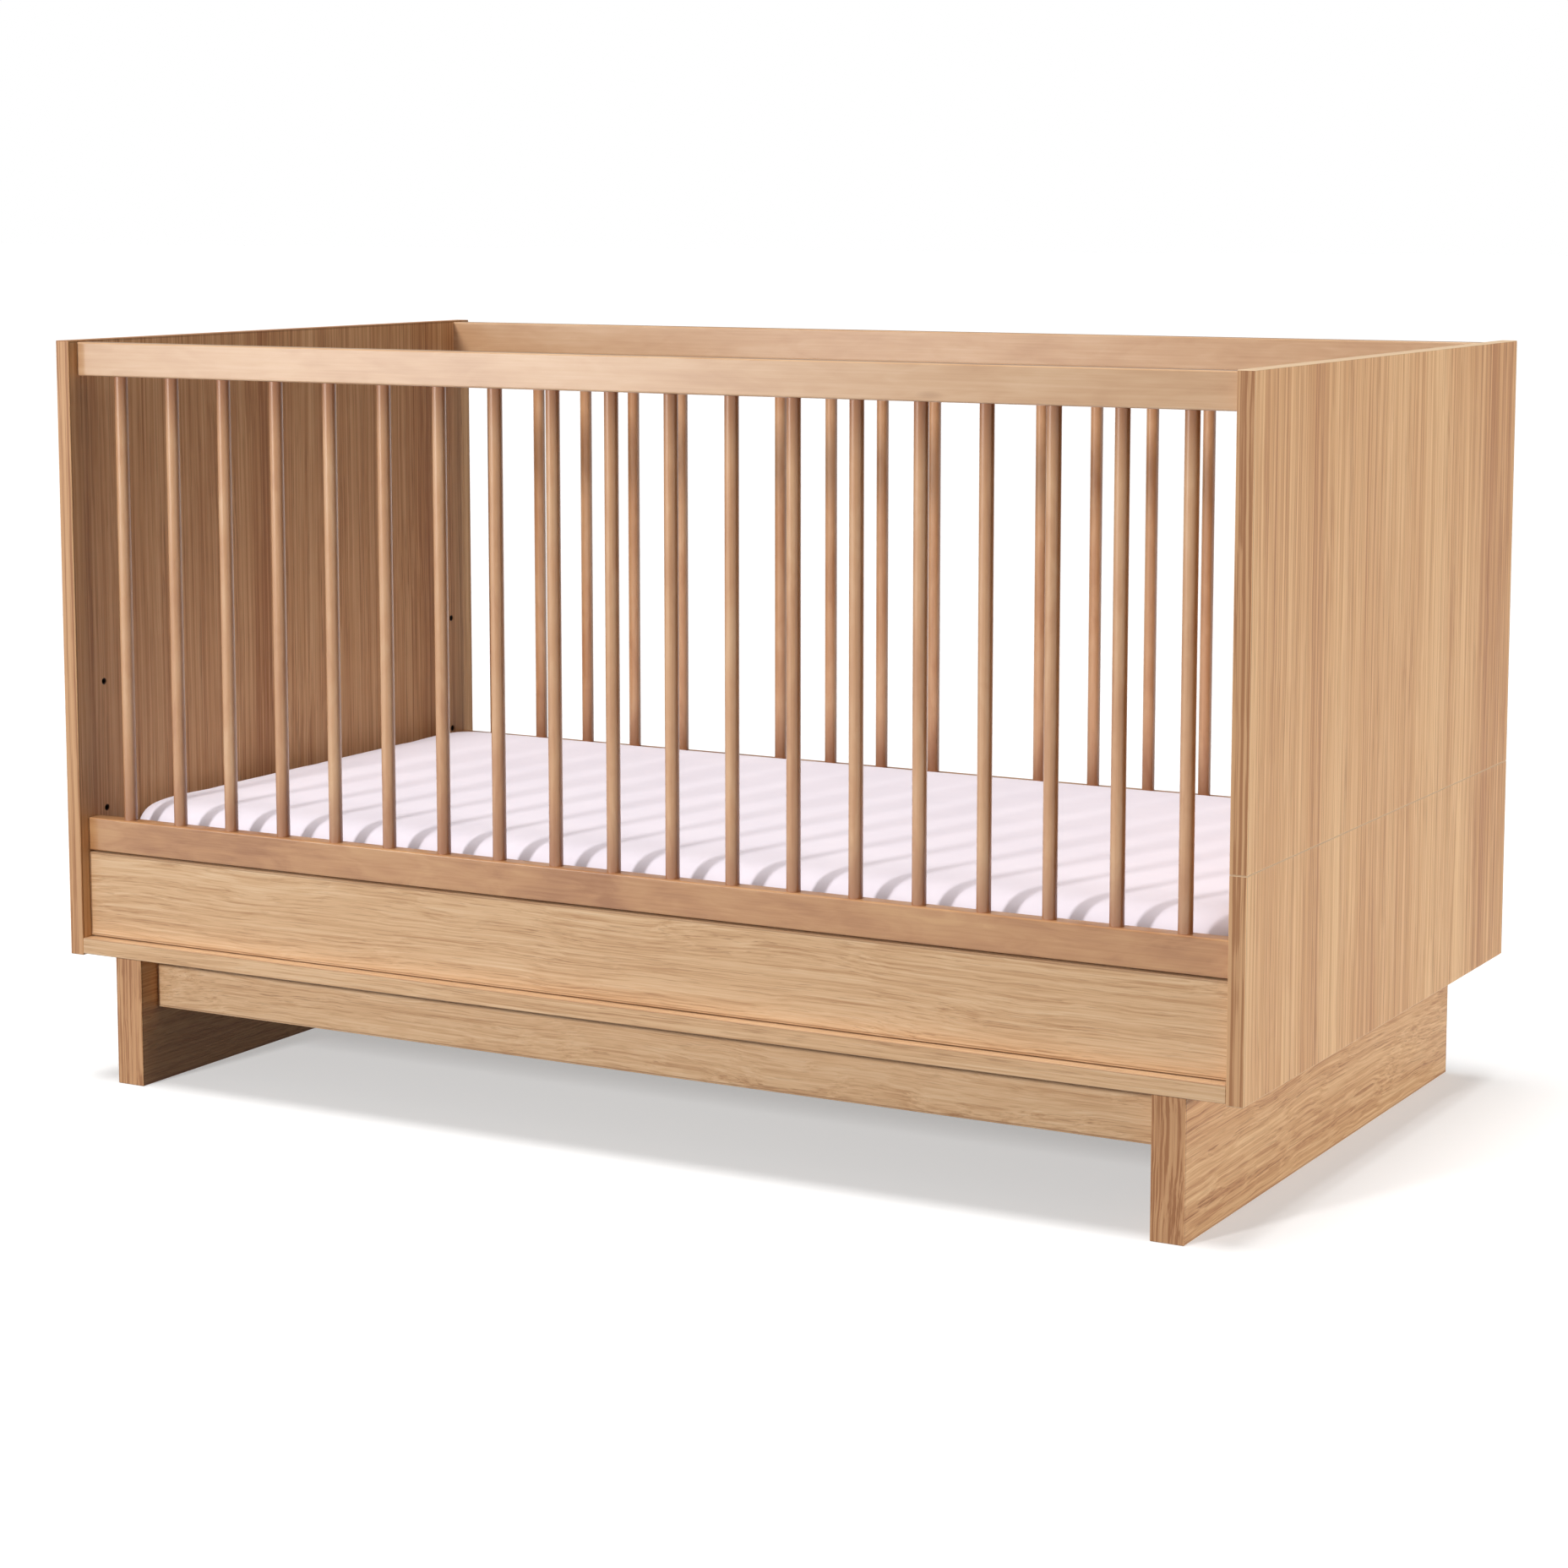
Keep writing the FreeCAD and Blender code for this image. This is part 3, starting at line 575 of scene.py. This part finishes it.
# tension folds: cloth pulled from each corner's tuck fans up the sides, and the elastic puckers the hem
shape = points_of(sheet.data)
normals = np.zeros(len(shape) * 3)
sheet.data.vertices.foreach_get("normal", normals)
normals = normals.reshape(-1, 3)
away = shape - middle
corner = (np.abs(np.abs(away[:, 0]) - half[0] + FOLD_CORNER)
          + np.abs(np.abs(away[:, 1]) - half[1] + FOLD_CORNER))
near = np.exp(-(corner / FOLD_SPREAD) ** 2)
depth = np.clip((sheet_high.z - shape[:, 2]) / (sheet_high.z - sheet_low.z), 0, 1)
across = np.abs(away[:, 0]) - np.abs(away[:, 1])
fan = np.sin(across * FOLD_RATE + np.sin(shape[:, 2] * FOLD_BEND) * FOLD_SWAY)
fold = fan * near * depth ** 1.5 * FOLD_DEPTH
inset = (half[:2] - np.abs(away[:, :2])).min(1)
hem = (depth > HEM_LEVEL) * np.clip((inset - TUCK * HEM_START) / (TUCK * (1 - HEM_START)), 0, 1)
pucker = np.sin(away[:, 0] * PUCKER_RATE) * np.cos(away[:, 1] * PUCKER_RATE) * hem * PUCKER_DEPTH
set_points(sheet.data, shape + normals * (fold + pucker)[:, None])
thick = sheet.modifiers.new("thickness", "SOLIDIFY")
thick.thickness = CLOTH
thick.offset = 1.0
apply_modifiers(sheet)
cloth = points_of(sheet.data)
cloth[:, 0] = np.clip(cloth[:, 0], low.x, high.x)
cloth[:, 1] = np.clip(cloth[:, 1], low.y, high.y)
cloth[:, 2] = np.clip(cloth[:, 2], low.z + 0.1 * MM, None)
set_points(sheet.data, cloth)
sheet.data.shade_smooth()
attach(sheet, "mattress")


# ---------------------------------------------------------------- studio

def floor_material():
    """Pale paper, with the faintest mottling."""
    graph = Graph("floor_paper")
    place = graph.coords.outputs["Object"]
    mottle = graph.noise(place, scale=1.3, detail=4.0)
    colour = graph.mix(mottle, srgb(206, 206, 206), srgb(210, 210, 210))
    return graph.finish(base_color=colour, roughness=0.9, emission_color=srgb(255, 255, 255),
                        emission_strength=0.42)


FLOOR_REACH = 60            # metres each way
floor_points = [(x * FLOOR_REACH, y * FLOOR_REACH, 0) for x, y in ((-1, -1), (1, -1), (1, 1), (-1, 1))]
floor = new_piece("floor", floor_points, [[0, 1, 2, 3]], floor_material())
floor.visible_diffuse = False


def lamp(name, place, aim, size, power, shiny=True, matt=True):
    """A square softbox of this side, in metres, that faces the aim. One that isn't shiny leaves no
    reflection, and one that isn't matt leaves nothing else."""
    data = bpy.data.lights.new(name, "AREA")
    data.shape = "SQUARE"
    data.size = size
    data.energy = power
    lit = bpy.data.objects.new(name, data)
    bpy.context.scene.collection.objects.link(lit)
    lit.location = place
    lit.rotation_euler = (Vector(aim) - Vector(place)).to_track_quat("-Z", "Y").to_euler()
    lit.visible_camera = False
    lit.visible_glossy = shiny
    lit.visible_diffuse = matt
    return lit


def sun(name, toward, spread, power):
    """Even light over the whole floor, from a disc this many degrees wide."""
    data = bpy.data.lights.new(name, "SUN")
    data.angle = math.radians(spread)
    data.energy = power
    lit = bpy.data.objects.new(name, data)
    bpy.context.scene.collection.objects.link(lit)
    lit.rotation_euler = Vector(toward).to_track_quat("-Z", "Y").to_euler()
    return lit


lamp("key", (-1.1, -4.8, 1.7), (0.0, -0.38, 0.5), 0.45, 175, shiny=False)
lamp("front_softbox", (-2.0, -3.0, 1.2), (-0.2, -0.38, 0.6), 1.3, 36, matt=False)
lamp("fill_right", (6.0, 0.2, 0.4), (0.72, 0.0, 0.4), 1.4, 270)
sun("overhead", (0.03, 0.06, -1.0), 24, 2.7)

# the studio is brighter on the left than on the right, darker below, and plain white behind
LEFT_LEVEL, RIGHT_LEVEL, BELOW_LEVEL = 0.30, 0.12, 0.35
world = bpy.data.worlds.new("studio")
world.use_nodes = True
tree = world.node_tree
tree.nodes.clear()


def world_node(kind, inputs, **settings):
    """One node of the studio, with each input either a plain value or another node's socket."""
    made = tree.nodes.new(kind)
    for key, value in settings.items():
        setattr(made, key, value)
    for key, value in inputs.items():
        if isinstance(value, bpy.types.NodeSocket):
            tree.links.new(value, made.inputs[key])
        else:
            made.inputs[key].default_value = value
    return made


direction = world_node("ShaderNodeTexCoord", {})
toward = world_node("ShaderNodeSeparateXYZ", {0: direction.outputs["Generated"]})
level = world_node("ShaderNodeMapRange", {
    0: toward.outputs[0], 1: -1.0, 2: 0.8, 3: LEFT_LEVEL, 4: RIGHT_LEVEL})
below = world_node("ShaderNodeMapRange", {0: toward.outputs[2], 1: -0.1, 2: 0.1, 3: BELOW_LEVEL})
strength = world_node("ShaderNodeMath", {0: level.outputs[0], 1: below.outputs[0]}, operation="MULTIPLY")
seen = world_node("ShaderNodeLightPath", {})
around = world_node("ShaderNodeBackground", {0: (1.0, 0.92, 0.86, 1.0), 1: strength.outputs[0]})
behind = world_node("ShaderNodeBackground", {0: (1.0, 1.0, 1.0, 1.0), 1: 1.0})
either = world_node("ShaderNodeMixShader", {
    0: seen.outputs["Is Camera Ray"], 1: around.outputs[0], 2: behind.outputs[0]})
world_node("ShaderNodeOutputWorld", {0: either.outputs[0]})
bpy.context.scene.world = world
bpy.context.scene.view_settings.view_transform = "Standard"

LOOK_DOWN, LOOK_LEFT = 7.159, 29.025    # degrees below the horizon, and left of +Y
camera = bpy.data.cameras.new("camera")
camera.lens = 80.87
camera.sensor_width = 36.0
camera.shift_y = -0.09
viewer = bpy.data.objects.new("camera", camera)
viewer.location = (1.929, -3.4822, 1.0065)
viewer.rotation_euler = (math.radians(90 - LOOK_DOWN), 0.0, math.radians(LOOK_LEFT))
bpy.context.scene.collection.objects.link(viewer)
bpy.context.scene.camera = viewer
